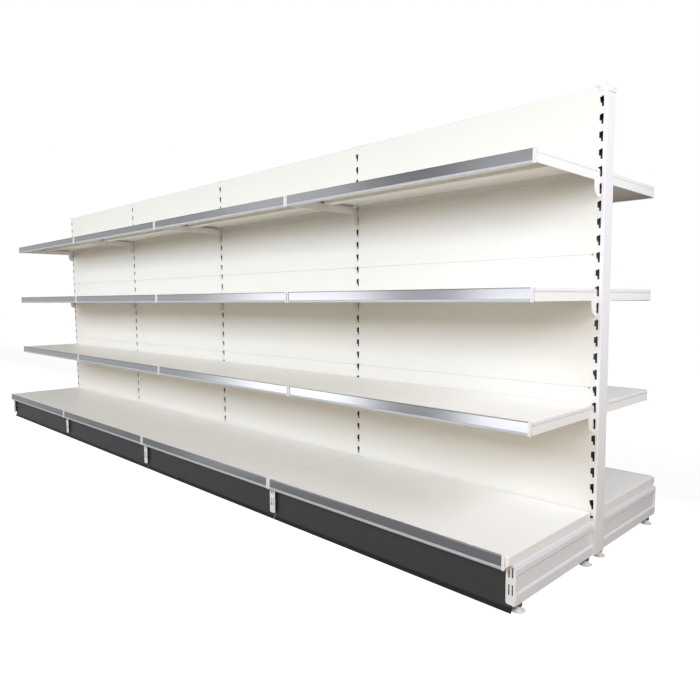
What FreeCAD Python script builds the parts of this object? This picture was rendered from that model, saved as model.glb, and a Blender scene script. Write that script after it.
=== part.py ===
"""Double-sided gondola shelving run: slotted uprights, base legs, panels, decks and hook-in shelves.

Millimetres, +Z up. The origin is on the floor under the middle of the run. +X goes along the run and the
front is -Y. Front pieces are drawn for a bay centred on X = 0, and back pieces are the same ones turned
half round.
"""
import math
import os

import FreeCAD
import Part
from FreeCAD import Vector

# Run
BAY_COUNT = 4
BAY_WIDTH = 1000.0            # between upright centrelines

# Uprights
UPRIGHT_WIDTH = 30.0          # along the run
UPRIGHT_DEPTH = 60.0
UPRIGHT_HEIGHT = 1400.0
UPRIGHT_WALL = 2.0
UPRIGHT_CORNER = 3.0
FLOOR_GAP = 30.0              # floor to the lower ends of uprights and legs

# Flag-shaped hook slots: a full-height lane with an entry notch beside it
SLOT_PITCH = 50.0
SLOT_START = 91.0             # lower end of the upright to the lowest slot
SLOT_TOP_MARGIN = 15.0        # least distance from the highest slot to the upright's top
SLOT_HALF = 6.0
SLOT_HEIGHT = 30.0
LANE_PAST_CENTRE = 0.5
NOTCH_RISE = 10.0             # slot's bottom to the ledge under the notch
NOTCH_HEIGHT = 18.0
LEG_SLOT_START = 30.0         # lower end of the upright to the slot of the leg's lower hook
LEG_SLOT_HEIGHT = 16.0

# Hooks that hang in the slots
HOOK_ARM = 6.0                # height of the arm through the wall
HOOK_LIP = 5.0                # how far the hook reaches down behind the wall
HOOK_LIP_DEPTH = 2.0
HOOK_WALL_GAP = 0.3
HOOK_SIDE_GAP = 0.5

# Sheet metal
SHEET = 1.0
BEND = 2.5                    # outside radius of the bends

# Upright caps
CAP_WALL = 1.5
CAP_PLATE = 2.0
CAP_SKIRT = 15.0
CAP_FIT = 0.2
CAP_CORNER = 2.0
CAP_TONGUE_GAP = 1.0          # between the cap's front tongue and the panels beside it
CAP_SKIRT_INSET = 4.0

# Back panels
PANEL_HEIGHT = 400.0
STANDARD_PANELS = 2           # equal panels under the top one, which reaches the upright's top
PANEL_FOLD = 16.0
PANEL_SLOT_GAP = 3.0          # between the slots and the panels' edges
PANEL_FOLD_GAP = 3.0          # between the panels' folds and the uprights
PANEL_LEG_GAP = 2.0           # between the lowest panel and the leg's rear plate

# Shelves and decks
SHELF_SPACING = 350.0         # wanted distance between shelf levels, kept to whole slots
LEVEL_NAMES = ("lower", "middle", "upper")
SHELF_DEPTH = 370.0           # uprights' face to the tray's front
SHELF_EDGE = 10.0
SHELF_ABOVE_LEDGE = 13.0      # shelf's top above the ledge that its brackets hang on
DECK_DEPTH = 470.0
DECK_EDGE = 27.0
DECK_CHAMFER = 16.0
PAN_REAR_GAP = 4.0            # uprights' face to the rear of trays and decks
PAN_SIDE_GAP = 1.0            # bay's edge to the side of trays and decks
PAN_FRONT_FOLD = 38.0
PAN_FRONT_LIP = 12.0
PAN_REAR_FOLD = 28.0
PAN_REAR_LIP = 10.0
PAN_EDGE_LIP = 12.0
PAN_RELIEF = 3.0              # open corner between the front fold and the side folds
STIFFENER_WIDTH = 70.0
STIFFENER_FLANGE = 13.0
STIFFENER_HEIGHT = 15.0
STIFFENER_END_GAP = 10.0

# Shelf brackets
BRACKET_SHEET = 2.0
BRACKET_SIDE_GAP = 0.5        # bay's edge to the bracket's outer face
BRACKET_FLANGE = 15.0
BRACKET_HEIGHT = 26.0         # of the arm under the tray's side fold
BRACKET_FRONT_GAP = 2.0       # bracket's end to the tray's front
BRACKET_FRONT_CORNER = 6.0
BRACKET_NECK = 22.0           # length of the raised part beside the upright
BRACKET_NECK_DROP = 1.5       # shelf's top to the neck's top
BRACKET_NECK_CORNER = 3.0
NECK_GAP = 4.0                # neck to the tray's side fold
GUSSET_REACH = 34.0
GUSSET_TAPER = 4.0
GUSSET_STRAIGHT = 34.0
GUSSET_DROP = 46.0            # below the bracket's arm
GUSSET_TOE = 8.0
GUSSET_CORNER = 16.0
GUSSET_ROOT = 4.0
LIP_FLANGE_GAP = 2.5          # tray's lips to the bracket's flange

# Ticket strips
STRIP_HEIGHT = 39.0
STRIP_DEPTH = 6.0
STRIP_RISE = 0.5              # strip's top above the shelf
STRIP_TOP_LIP = 3.0
STRIP_TOP_DEPTH = 4.6
STRIP_FACE_DEPTH = 2.8
STRIP_FACE_SLOPE = 0.9
STRIP_LOWER_LIP = 9.0
STRIP_ROUND = 2.0
STRIP_EDGE_ROUND = 0.7
STRIP_INSET = 2.0             # bay's edge to the strip's end
DECK_STRIP_END_INSET = 14.0   # the same on the decks at the run's ends

# Base legs
LEG_SETBACK = 14.0            # deck's front to the front plate's face
LEG_HEIGHT = 105.0
LEG_SHEET = 2.0
LEG_HALF = 15.0               # half the leg's width over its swages
END_LEG_SHIFT = 5.0           # how far the legs at the run's ends stand in from their uprights
LEG_FOOT_INSET = 1.0          # side faces of the swaged wall, measured in from the leg's half width
LEG_WEB_INSET = 6.0
LEG_TOP_INSET = 4.0
LEG_FOOT_HEIGHT = 27.0        # heights of the swages above the leg's lower edge
LEG_WEB_START = 32.0
LEG_WEB_END = 73.0
LEG_BAND_START = 79.0
LEG_BAND_END = 94.0
LEG_PLATE_HEIGHT = 104.0
LEG_PLATE_CORNER = 7.0
LEG_PLATE_ROUND = 1.5         # front edges of the plate
PLATE_SLOT_WIDTH = 4.0
PLATE_SLOT_OFFSET = 5.0       # leg's middle to the slots' middle
PLATE_SLOTS = ((26.0, 28.0), (72.0, 28.0))   # start above the leg's lower edge, length
LEG_HOOK_MARGIN = 16.0        # rear plate above its hook
LEG_HOOK_WIDTH = 3.0
FOOT_PLATE = 4.0
FOOT_PLATE_HALF = 16.0

# Plinths, whose ends pass through the legs' inner walls and meet behind their front plates
PLINTH_END_GAP = 1.0          # leg's middle to the plinth's end
PLINTH_SIDE_GAP = 1.0         # leg's wall to the plinth's top return
PLINTH_DECK_GAP = 6.0
PLINTH_FLOOR_GAP = 4.0
PLINTH_TOP_RETURN = 14.0
PLINTH_KICK = 8.0
PLINTH_KICK_HEIGHT = 12.0
PLINTH_PLATE_GAP = 10.5       # front plate's rear to the plinth's face
LUG_HEIGHT = 10.0
WALL_NOTCH_DEPTH = 16.0
WALL_NOTCH_MARGIN = 2.0

# Levelling feet
FOOT_REAR_INSET = 18.0        # uprights' face to the rear foot
FOOT_FRONT_INSET = 41.0       # leg's front to the front foot
STEM_DIAMETER = 10.0
STEM_TOP = 72.0
STEM_HEX = 17.0
STEM_HEX_HEIGHT = 8.0
STEM_HEX_GAP = 7.0            # below the leg
STEM_FIT = 0.2
PAD_DIAMETER = 37.0
PAD_RIM = 3.0
PAD_SHOULDER = 19.0
PAD_NECK = 17.0
PAD_HEIGHT = 13.0
PAD_CONE = 10.0

# Tie rails and bolts
RAIL_HEIGHT = 40.0
RAIL_DEPTH = 24.0
RAIL_SHEET = 1.5
RAIL_END_PLATE = 3.0
LOW_RAIL = 60.0               # upright's lower end to the lower rail's middle
HIGH_RAIL = 40.0              # upright's top to the upper rail's middle
BOLT_DIAMETER = 8.0
BOLT_HEX = 13.0
BOLT_HEAD = 5.3
NUT_HEIGHT = 6.5
BOLT_PAST_NUT = 2.5
BOLT_HOLE_GAP = 0.2
NUT_GAP = 0.1

# Derived places
HALF_BAY = BAY_WIDTH / 2
FACE = UPRIGHT_DEPTH / 2
INNER_FACE = FACE - UPRIGHT_WALL
FLANK = UPRIGHT_WIDTH / 2
UPRIGHT_TOP = FLOOR_GAP + UPRIGHT_HEIGHT
SLOT_ZONE = UPRIGHT_HEIGHT - SLOT_START - SLOT_HEIGHT - SLOT_TOP_MARGIN
SLOT_COUNT = int(SLOT_ZONE // SLOT_PITCH) + 1
HOOK_END = INNER_FACE - HOOK_WALL_GAP - HOOK_LIP_DEPTH
LEG_TOP = FLOOR_GAP + LEG_HEIGHT
LEG_FRONT = FACE + DECK_DEPTH - LEG_SETBACK
DECK_TOP = LEG_TOP + DECK_EDGE
PLINTH_TOP = DECK_TOP - PAN_FRONT_FOLD - PLINTH_DECK_GAP
PLATE_REAR = -LEG_FRONT + LEG_SHEET
BOLT_HOLE = BOLT_DIAMETER / 2 + BOLT_HOLE_GAP
RAIL_LEVELS = (FLOOR_GAP + LOW_RAIL, UPRIGHT_TOP - HIGH_RAIL)
PAN_HALF = HALF_BAY - PAN_SIDE_GAP
PAN_REAR = FACE + PAN_REAR_GAP
BRACKET_INNER = HALF_BAY - BRACKET_SIDE_GAP - BRACKET_SHEET
SHELF_LIP_HALF = BRACKET_INNER - BRACKET_FLANGE - LIP_FLANGE_GAP
DECK_LIP_HALF = HALF_BAY - LEG_HALF - END_LEG_SHIFT - LIP_FLANGE_GAP


def slot_bottom(index):
    """Height of a slot's lower end."""
    return FLOOR_GAP + SLOT_START + index * SLOT_PITCH


def slot_ledge(index):
    """Height of the ledge under a slot's entry notch."""
    return slot_bottom(index) + NOTCH_RISE


LEG_REAR_TOP = slot_bottom(0) + HOOK_ARM + LEG_HOOK_MARGIN
PANEL_BOTTOM = LEG_REAR_TOP + PANEL_LEG_GAP


# Shape helpers

def rounded_face(corners, to_space):
    """Flat face through corners (u, v, radius), where each radius rounds its own corner."""
    turns = []
    for index, (u, v, radius) in enumerate(corners):
        here = Vector(u, v, 0)
        before = Vector(*corners[index - 1][:2], 0) - here
        after = Vector(*corners[(index + 1) % len(corners)][:2], 0) - here
        before.normalize()
        after.normalize()
        half_angle = before.getAngle(after) / 2
        reach = radius / math.tan(half_angle)
        inward = before + after
        middle = here
        if radius > 0:
            inward.normalize()
            middle = here + inward * (radius / math.sin(half_angle) - radius)
        turns.append((here + before * reach, middle, here + after * reach))
    edges = []
    for index, (start, middle, end) in enumerate(turns):
        following = turns[(index + 1) % len(turns)][0]
        if not start.isEqual(end, 1e-6):
            edges.append(Part.Arc(to_space(start), to_space(middle), to_space(end)).toShape())
        if not end.isEqual(following, 1e-6):
            edges.append(Part.LineSegment(to_space(end), to_space(following)).toShape())
    return Part.Face(Part.Wire(edges))


def prism_x(corners, low, high):
    """Outline of (y, z, radius) corners drawn out along X."""
    face = rounded_face(corners, lambda p: Vector(low, p.x, p.y))
    return face.extrude(Vector(high - low, 0, 0))


def prism_y(corners, low, high):
    """Outline of (x, z, radius) corners drawn out along Y."""
    face = rounded_face(corners, lambda p: Vector(p.x, low, p.y))
    return face.extrude(Vector(0, high - low, 0))


def prism_z(corners, low, high):
    """Outline of (x, y, radius) corners drawn out along Z."""
    face = rounded_face(corners, lambda p: Vector(p.x, p.y, low))
    return face.extrude(Vector(0, 0, high - low))


def rectangle(u_low, u_high, v_low, v_high, radius=0.0):
    """Corners of a rectangle, all with the same radius."""
    corners = [(u_low, v_low), (u_high, v_low), (u_high, v_high), (u_low, v_high)]
    return [(u, v, radius) for u, v in corners]


def box(x_low, x_high, y_low, y_high, z_low, z_high):
    """Block between two corners."""
    return Part.makeBox(x_high - x_low, y_high - y_low, z_high - z_low, Vector(x_low, y_low, z_low))


def folded_section(path, thickness, bend):
    """Outline of bent sheet metal that lies to the left of a path of (u, v) points."""
    points = [Vector(u, v, 0) for u, v in path]
    normals = []
    for start, end in zip(points, points[1:]):
        along = end - start
        along.normalize()
        normals.append(Vector(-along.y, along.x, 0))
    near = [(points[0].x, points[0].y, 0.0)]
    first = points[0] + normals[0] * thickness
    far = [(first.x, first.y, 0.0)]
    for point, before, after in zip(points[1:], normals, normals[1:]):
        offset = point + (before + after) * (thickness / (1 + before.dot(after)))
        turns_left = before.cross(after).z > 0
        near.append((point.x, point.y, bend if turns_left else bend - thickness))
        far.append((offset.x, offset.y, bend - thickness if turns_left else bend))
    last = points[-1] + normals[-1] * thickness
    near.append((points[-1].x, points[-1].y, 0.0))
    far.append((last.x, last.y, 0.0))
    return near + far[::-1]


def joined(first, *others):
    """One solid made of touching or overlapping solids."""
    return first.fuse(list(others)).removeSplitter()


def mirrored_x(shape):
    """Copy of a shape mirrored to the other end of its bay."""
    return shape.mirror(Vector(0, 0, 0), Vector(1, 0, 0))


def hexagon(across_flats):
    """Corners of a hexagon about the origin."""
    radius = across_flats / math.sqrt(3)
    angles = [math.radians(60 * step) for step in range(6)]
    return [(radius * math.cos(angle), radius * math.sin(angle), 0.0) for angle in angles]


def hook(x_low, x_high, rest):
    """Hook through the uprights' front wall, hanging on a slot edge at height rest."""
    arm = box(x_low, x_high, -FACE, -HOOK_END, rest, rest + HOOK_ARM)
    lip = box(x_low, x_high, -HOOK_END - HOOK_LIP_DEPTH, -HOOK_END, rest - HOOK_LIP, rest)
    return joined(arm, lip)


def bolt(length):
    """Hexagon bolt along +Z with the underside of its head at the origin."""
    head = prism_z(hexagon(BOLT_HEX), -BOLT_HEAD, 0)
    return joined(head, Part.makeCylinder(BOLT_DIAMETER / 2, length))


def nut(start):
    """Hexagon nut along +Z."""
    body = prism_z(hexagon(BOLT_HEX), start, start + NUT_HEIGHT)
    bore = Part.makeCylinder(BOLT_DIAMETER / 2 + NUT_GAP, NUT_HEIGHT, Vector(0, 0, start))
    return body.cut(bore)


def placed(shape, x, side="front", z=0.0):
    """Copy of a front piece set at its bay or upright, turned half round for the back."""
    turn = FreeCAD.Rotation(Vector(0, 0, 1), 180 if side == "back" else 0)
    copy = shape.copy()
    copy.Placement = FreeCAD.Placement(Vector(x, 0, z), turn).multiply(shape.Placement)
    return copy


# Uprights, caps, rails and bolts

def slotted_post():
    """Box post with hook slots in both faces, and a slot below them for the legs' lower hooks."""
    outer = prism_z(rectangle(-FLANK, FLANK, -FACE, FACE, UPRIGHT_CORNER), FLOOR_GAP, UPRIGHT_TOP)
    inner_half = FLANK - UPRIGHT_WALL
    inner_corner = max(UPRIGHT_CORNER - UPRIGHT_WALL, UPRIGHT_WALL / 2)
    hollow = rectangle(-inner_half, inner_half, -INNER_FACE, INNER_FACE, inner_corner)
    post = outer.cut(prism_z(hollow, FLOOR_GAP, UPRIGHT_TOP))
    leg_slot_low = FLOOR_GAP + LEG_SLOT_START
    front_cuts = [slot_cut(index) for index in range(SLOT_COUNT)]
    front_cuts.append(box(-LANE_PAST_CENTRE, SLOT_HALF, -FACE, -INNER_FACE,
                          leg_slot_low, leg_slot_low + LEG_SLOT_HEIGHT))
    return post.cut(front_cuts + [placed(cut, 0, "back") for cut in front_cuts])


def upright(post, has_left_bay, has_right_bay):
    """Slotted post with rail bolt holes in the flanks that have a bay beside them."""
    starts = [-FLANK] * has_left_bay + [0.0] * has_right_bay
    along = Vector(1, 0, 0)
    return post.cut([Part.makeCylinder(BOLT_HOLE, FLANK, Vector(start, 0, level), along)
                     for start in starts for level in RAIL_LEVELS])


def slot_cut(index):
    """Flag-shaped hole through the front wall."""
    bottom = slot_bottom(index)
    ledge = slot_ledge(index)
    outline = [
        (-LANE_PAST_CENTRE, bottom, 0), (SLOT_HALF, bottom, 0), (SLOT_HALF, bottom + SLOT_HEIGHT, 0),
        (-LANE_PAST_CENTRE, bottom + SLOT_HEIGHT, 0), (-LANE_PAST_CENTRE, ledge + NOTCH_HEIGHT, 0),
        (-SLOT_HALF, ledge + NOTCH_HEIGHT, 0), (-SLOT_HALF, ledge, 0), (-LANE_PAST_CENTRE, ledge, 0),
    ]
    return prism_y(outline, -FACE, -INNER_FACE)


def upright_cap():
    """Moulded cap with side skirts, and tongues that stand between the panels."""
    half_x = FLANK + CAP_FIT + CAP_WALL
    half_y = FACE + CAP_FIT + CAP_WALL
    skirt_bottom = UPRIGHT_TOP - CAP_SKIRT
    plate_top = UPRIGHT_TOP + CAP_PLATE
    plate = prism_z(rectangle(-half_x, half_x, -half_y, half_y, CAP_CORNER), UPRIGHT_TOP, plate_top)
    skirt_half = FACE - CAP_SKIRT_INSET
    skirt = box(FLANK + CAP_FIT, half_x, -skirt_half, skirt_half, skirt_bottom, UPRIGHT_TOP)
    tongue_half = SLOT_HALF + PANEL_SLOT_GAP - CAP_TONGUE_GAP
    tongue = box(-tongue_half, tongue_half, -half_y, -FACE - CAP_FIT, skirt_bottom, UPRIGHT_TOP)
    return joined(plate, skirt, mirrored_x(skirt), tongue, placed(tongue, 0, "back"))


def tie_rail(level):
    """C-shaped rail between two uprights, with a bolted plate at each end."""
    end = HALF_BAY - FLANK
    half_height = RAIL_HEIGHT / 2
    half_depth = RAIL_DEPTH / 2
    path = [
        (half_depth, level - half_height), (half_depth, level + half_height),
        (-half_depth, level + half_height), (-half_depth, level - half_height),
    ]
    channel = prism_x(folded_section(path, RAIL_SHEET, BEND), -end, end)
    plate = box(end - RAIL_END_PLATE, end, -half_depth, half_depth, level - half_height, level + half_height)
    hole_start = Vector(end - RAIL_END_PLATE, 0, level)
    plate = plate.cut(Part.makeCylinder(BOLT_HOLE, RAIL_END_PLATE, hole_start, Vector(1, 0, 0)))
    return joined(channel, plate, mirrored_x(plate))


def rail_bolts(level):
    """Bolt and nut at both ends of a tie rail."""
    head_at = HALF_BAY - FLANK - RAIL_END_PLATE
    clamped = RAIL_END_PLATE + UPRIGHT_WALL
    fixing = [bolt(clamped + NUT_HEIGHT + BOLT_PAST_NUT), nut(clamped)]
    turn = FreeCAD.Rotation(Vector(0, 1, 0), 90)
    solids = []
    for solid in fixing:
        solid.Placement = FreeCAD.Placement(Vector(head_at, 0, level), turn)
        solids += [solid, mirrored_x(solid)]
    return solids


# Base legs, feet and plinths

def leg_shift(index, side):
    """How far a leg stands to the right of its upright, seen from the leg's own side of the run."""
    shift = END_LEG_SHIFT * ((index == 0) - (index == BAY_COUNT))
    return shift if side == "front" else -shift


def leg_channel():
    """Swaged channel, open below."""
    steps = [
        (LEG_FOOT_INSET, 0), (LEG_FOOT_INSET, LEG_FOOT_HEIGHT), (LEG_WEB_INSET, LEG_WEB_START),
        (LEG_WEB_INSET, LEG_WEB_END), (0, LEG_BAND_START), (0, LEG_BAND_END), (LEG_TOP_INSET, LEG_HEIGHT),
    ]
    right = [(LEG_HALF - inset, FLOOR_GAP + height) for inset, height in steps]
    left = [(-x, z) for x, z in reversed(right)]
    bend = LEG_SHEET + BEND - SHEET
    return prism_y(folded_section(right + left, LEG_SHEET, bend), PLATE_REAR, -FACE - LEG_SHEET)


def leg_front_plate():
    """Front plate with rounded edges, and two columns of slots for the plinths' lugs."""
    plate_top = FLOOR_GAP + LEG_PLATE_HEIGHT
    outline = rectangle(-LEG_HALF, LEG_HALF, FLOOR_GAP, plate_top, LEG_PLATE_CORNER)
    section = [
        (-LEG_HALF, -LEG_FRONT, LEG_PLATE_ROUND), (LEG_HALF, -LEG_FRONT, LEG_PLATE_ROUND),
        (LEG_HALF, PLATE_REAR, 0), (-LEG_HALF, PLATE_REAR, 0),
    ]
    plate = prism_y(outline, -LEG_FRONT, PLATE_REAR).common(prism_z(section, FLOOR_GAP, plate_top))
    slots = []
    for start, length in PLATE_SLOTS:
        for x in (-PLATE_SLOT_OFFSET, PLATE_SLOT_OFFSET):
            slots.append(box(x - PLATE_SLOT_WIDTH / 2, x + PLATE_SLOT_WIDTH / 2, -LEG_FRONT, PLATE_REAR,
                             FLOOR_GAP + start, FLOOR_GAP + start + length))
    return plate.cut(slots)


def base_leg(shift):
    """Leg with a slotted front plate, two foot plates, and a rear plate that hooks into an upright.

    Args:
        shift: how far the leg stands to the right of the upright that it hooks into
    """
    rear = -FACE - LEG_SHEET
    notch_reach = LEG_HALF + LEG_SHEET
    notch_low = 0.0 if shift > 0 else -notch_reach
    notch_high = 0.0 if shift < 0 else notch_reach
    notch = box(notch_low, notch_high, PLATE_REAR, PLATE_REAR + WALL_NOTCH_DEPTH,
                FLOOR_GAP, PLINTH_TOP + WALL_NOTCH_MARGIN)
    foot_half = LEG_HALF - LEG_FOOT_INSET - LEG_SHEET
    plates = []
    holes = []
    for y in foot_places():
        plate_low = max(-y - FOOT_PLATE_HALF, PLATE_REAR)
        plate_high = min(-y + FOOT_PLATE_HALF, rear)
        plates.append(box(-foot_half, foot_half, plate_low, plate_high, FLOOR_GAP, FLOOR_GAP + FOOT_PLATE))
        holes.append(Part.makeCylinder(STEM_DIAMETER / 2 + STEM_FIT, FOOT_PLATE, Vector(0, -y, FLOOR_GAP)))
    body = joined(leg_channel().cut(notch), leg_front_plate(), *plates).cut(holes)
    body = body.translated(Vector(shift, 0, 0))
    rear_low = min(-FLANK, shift - LEG_HALF)
    rear_high = max(FLANK, shift + LEG_HALF)
    rear_plate = box(rear_low, rear_high, rear, -FACE, FLOOR_GAP, LEG_REAR_TOP)
    hook_start = SLOT_HALF - HOOK_SIDE_GAP - LEG_HOOK_WIDTH
    rests = (slot_bottom(0), FLOOR_GAP + LEG_SLOT_START)
    hooks = [hook(hook_start, hook_start + LEG_HOOK_WIDTH, rest) for rest in rests]
    return joined(body, rear_plate, *hooks)


def foot_places():
    """Distances from the run's middle plane to a leg's rear and front feet."""
    return FACE + FOOT_REAR_INSET, LEG_FRONT - FOOT_FRONT_INSET


def foot_stem():
    """Threaded stem with a hexagon for the spanner."""
    hex_top = FLOOR_GAP - STEM_HEX_GAP
    stem = Part.makeCylinder(STEM_DIAMETER / 2, STEM_TOP - PAD_RIM, Vector(0, 0, PAD_RIM))
    return joined(stem, prism_z(hexagon(STEM_HEX), hex_top - STEM_HEX_HEIGHT, hex_top))


def foot_pad():
    """Round pad with a socket for the stem's end."""
    bore = STEM_DIAMETER / 2 + STEM_FIT
    outline = [
        (0, 0, 0), (PAD_DIAMETER / 2, 0, 0), (PAD_DIAMETER / 2, PAD_RIM, 0), (PAD_SHOULDER / 2, PAD_CONE, 0),
        (PAD_NECK / 2, PAD_HEIGHT, 0), (bore, PAD_HEIGHT, 0), (bore, PAD_RIM, 0), (0, PAD_RIM, 0),
    ]
    face = rounded_face(outline, lambda p: Vector(p.x, 0, p.y))
    return face.revolve(Vector(0, 0, 0), Vector(0, 0, 1), 360)


def plinth(left_leg, right_leg):
    """Kick plate with a kicked-out lower lip, held by lugs in the legs' front plates.

    Args:
        left_leg: bay's middle to the middle of the leg on the left
        right_leg: the same on the right
    """
    face = PLATE_REAR + PLINTH_PLATE_GAP
    kick = [(face, PLINTH_FLOOR_GAP + PLINTH_KICK_HEIGHT), (face - PLINTH_KICK, PLINTH_FLOOR_GAP)]
    whole = [(face + PLINTH_TOP_RETURN, PLINTH_TOP), (face, PLINTH_TOP)] + kick
    wall = LEG_HALF + PLINTH_SIDE_GAP
    sheet = prism_x(folded_section(whole, SHEET, BEND), wall - left_leg, right_leg - wall)
    lug_half = PLATE_SLOT_WIDTH / 2 - HOOK_SIDE_GAP
    pieces = [sheet]
    for leg, is_left in ((left_leg, True), (right_leg, False)):
        section = folded_section([(face, PLINTH_TOP - BEND)] + kick, SHEET, BEND)
        lug_at = leg - PLATE_SLOT_OFFSET
        end = [prism_x(section, leg - wall, leg - PLINTH_END_GAP)]
        for start, _ in PLATE_SLOTS:
            low = FLOOR_GAP + start
            lug_top = min(low + LUG_HEIGHT, PLINTH_TOP - BEND)
            end.append(box(lug_at - lug_half, lug_at + lug_half, -LEG_FRONT, face, low, lug_top))
        pieces += [mirrored_x(piece) for piece in end] if is_left else end
    return joined(*pieces)


# Panels, shelves and decks

def panel_levels():
    """Lower and upper edges of the panels, from the legs up."""
    joints = [PANEL_BOTTOM + PANEL_HEIGHT * step for step in range(STANDARD_PANELS + 1)]
    edges = [z for z in joints if z < UPRIGHT_TOP] + [UPRIGHT_TOP]
    return list(zip(edges, edges[1:]))


def back_panel(bottom, top):
    """Folded panel whose edges lap the uprights and hook into their slots."""
    outer = -FACE - SHEET
    fold_end = outer + PANEL_FOLD
    fold_half = HALF_BAY - FLANK - PANEL_FOLD_GAP
    lap_half = HALF_BAY - SLOT_HALF - PANEL_SLOT_GAP
    tab_outer = HALF_BAY - SLOT_HALF + HOOK_SIDE_GAP + SHEET
    path = [(fold_end, top), (outer, top), (outer, bottom), (fold_end, bottom)]
    sheet = prism_x(folded_section(path, SHEET, BEND), -fold_half, fold_half)
    pieces = [box(fold_half, lap_half, outer, -FACE, bottom + BEND, top - BEND)]
    pieces.append(mirrored_x(pieces[0]))
    hook_room = HOOK_ARM + BEND
    held = [n for n in range(SLOT_COUNT) if slot_bottom(n) >= bottom and slot_ledge(n) + hook_room <= top]
    for index in {held[0], held[-1]} if held else ():
        for rest, is_left in ((slot_ledge(index), False), (slot_bottom(index), True)):
            ear = box(lap_half, tab_outer, outer, -FACE, rest, rest + HOOK_ARM)
            tab = joined(ear, hook(tab_outer - SHEET, tab_outer, rest))
            pieces.append(mirrored_x(tab) if is_left else tab)
    return joined(sheet, *pieces)


def pan(depth, edge, neck_room, lip_half):
    """Folded tray with its top at Z = 0, and the hat-shaped stiffener that is welded under it.

    Args:
        depth: uprights' face to the front of the tray
        edge: height of the side folds
        neck_room: length left open at the rear of the side folds
        lip_half: half the length of the rear fold and of the lips
    """
    front = -FACE - depth
    rear = -PAN_REAR
    skin_half = PAN_HALF - BEND
    whole = [
        (rear - PAN_REAR_LIP, -PAN_REAR_FOLD), (rear, -PAN_REAR_FOLD), (rear, 0), (front, 0),
        (front, -PAN_FRONT_FOLD), (front + PAN_FRONT_LIP, -PAN_FRONT_FOLD),
    ]
    end_path = [(rear, 0), (front, 0), (front, -PAN_FRONT_FOLD)]
    edge_path = [(PAN_HALF - PAN_EDGE_LIP, -edge), (PAN_HALF, -edge), (PAN_HALF, 0), (skin_half, 0)]
    middle = prism_x(folded_section(whole, SHEET, BEND), -lip_half, lip_half)
    ends = [
        prism_x(folded_section(end_path, SHEET, BEND), lip_half, skin_half),
        prism_y(folded_section(edge_path, SHEET, BEND), front + PAN_RELIEF, rear - neck_room),
        box(skin_half, PAN_HALF, front, front + SHEET, -PAN_FRONT_FOLD, -BEND),
    ]
    tray = joined(middle, *ends, *[mirrored_x(end) for end in ends])
    return [tray, stiffener((front + rear) / 2, lip_half - STIFFENER_END_GAP)]


def stiffener(centre, end):
    """Hat-shaped stiffener under a tray, which reaches from -end to end."""
    half = STIFFENER_WIDTH / 2
    flange_z = -2 * SHEET
    low = -SHEET - STIFFENER_HEIGHT
    path = [
        (centre - half, flange_z), (centre - half + STIFFENER_FLANGE, flange_z),
        (centre - half + STIFFENER_FLANGE, low), (centre + half - STIFFENER_FLANGE, low),
        (centre + half - STIFFENER_FLANGE, flange_z), (centre + half, flange_z),
    ]
    return prism_x(folded_section(path, SHEET, BEND), -end, end)


def base_deck():
    """Deep tray on the legs, with the lower corners of its front cut off."""
    tray, hat = pan(DECK_DEPTH, DECK_EDGE, 0, DECK_LIP_HALF)
    corner = [
        (PAN_HALF - DECK_CHAMFER, -PAN_FRONT_FOLD, 0), (PAN_HALF, -PAN_FRONT_FOLD, 0),
        (PAN_HALF, -PAN_FRONT_FOLD + DECK_CHAMFER, 0),
    ]
    front = -FACE - DECK_DEPTH
    cut = prism_y(corner, front, front + SHEET)
    return [tray.cut([cut, mirrored_x(cut)]), hat]


def ticket_strip(depth, left_inset, right_inset):
    """Label strip on the front of a tray, with a recessed face and a rounded lower lip.

    Args:
        depth: uprights' face to the front of the tray
        left_inset: bay's left edge to the strip's end
        right_inset: bay's right edge to the strip's end
    """
    back = -FACE - depth
    top = STRIP_RISE
    bottom = top - STRIP_HEIGHT
    lip_top = bottom + STRIP_LOWER_LIP
    face_low = STRIP_FACE_DEPTH + STRIP_FACE_SLOPE
    outline = [
        (back, bottom, 0), (back, top, 0), (back - STRIP_TOP_DEPTH, top, STRIP_EDGE_ROUND),
        (back - STRIP_TOP_DEPTH, top - STRIP_TOP_LIP, STRIP_EDGE_ROUND),
        (back - STRIP_FACE_DEPTH, top - STRIP_TOP_LIP, 0), (back - face_low, lip_top, 0),
        (back - STRIP_DEPTH, lip_top, STRIP_ROUND), (back - STRIP_DEPTH, bottom, STRIP_ROUND),
    ]
    return prism_x(outline, left_inset - HALF_BAY, HALF_BAY - right_inset)


def shelf_bracket(is_left):
    """Bracket for one end of a shelf whose top is at Z = 0, with two hooks and a flange for the tray."""
    outer = HALF_BAY - BRACKET_SIDE_GAP
    front = -FACE - SHELF_DEPTH + BRACKET_FRONT_GAP
    seat = -SHELF_EDGE
    low = seat - BRACKET_HEIGHT
    toe = low - GUSSET_DROP
    gusset = -FACE - GUSSET_REACH
    neck = -FACE - BRACKET_NECK
    outline = [
        (-FACE, -BRACKET_NECK_DROP, 0), (neck, -BRACKET_NECK_DROP, BRACKET_NECK_CORNER), (neck, seat, 0),
        (front, seat, 0), (front, low, BRACKET_FRONT_CORNER), (gusset, low, GUSSET_ROOT),
        (gusset + GUSSET_TAPER, low - GUSSET_STRAIGHT, GUSSET_CORNER), (-FACE - GUSSET_TOE, toe, 0),
        (-FACE, toe, 0),
    ]
    plate = prism_x(outline, BRACKET_INNER, outer)
    flange_rear = neck - NECK_GAP
    flange = box(BRACKET_INNER - BRACKET_FLANGE, outer, front, flange_rear, seat - BRACKET_SHEET, seat)
    upper_rest = -SHELF_ABOVE_LEDGE - (NOTCH_RISE if is_left else 0)
    hooks = [hook(BRACKET_INNER, outer, upper_rest - SLOT_PITCH * step) for step in range(2)]
    bracket = joined(plate, flange, *hooks)
    return mirrored_x(bracket) if is_left else bracket


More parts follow.
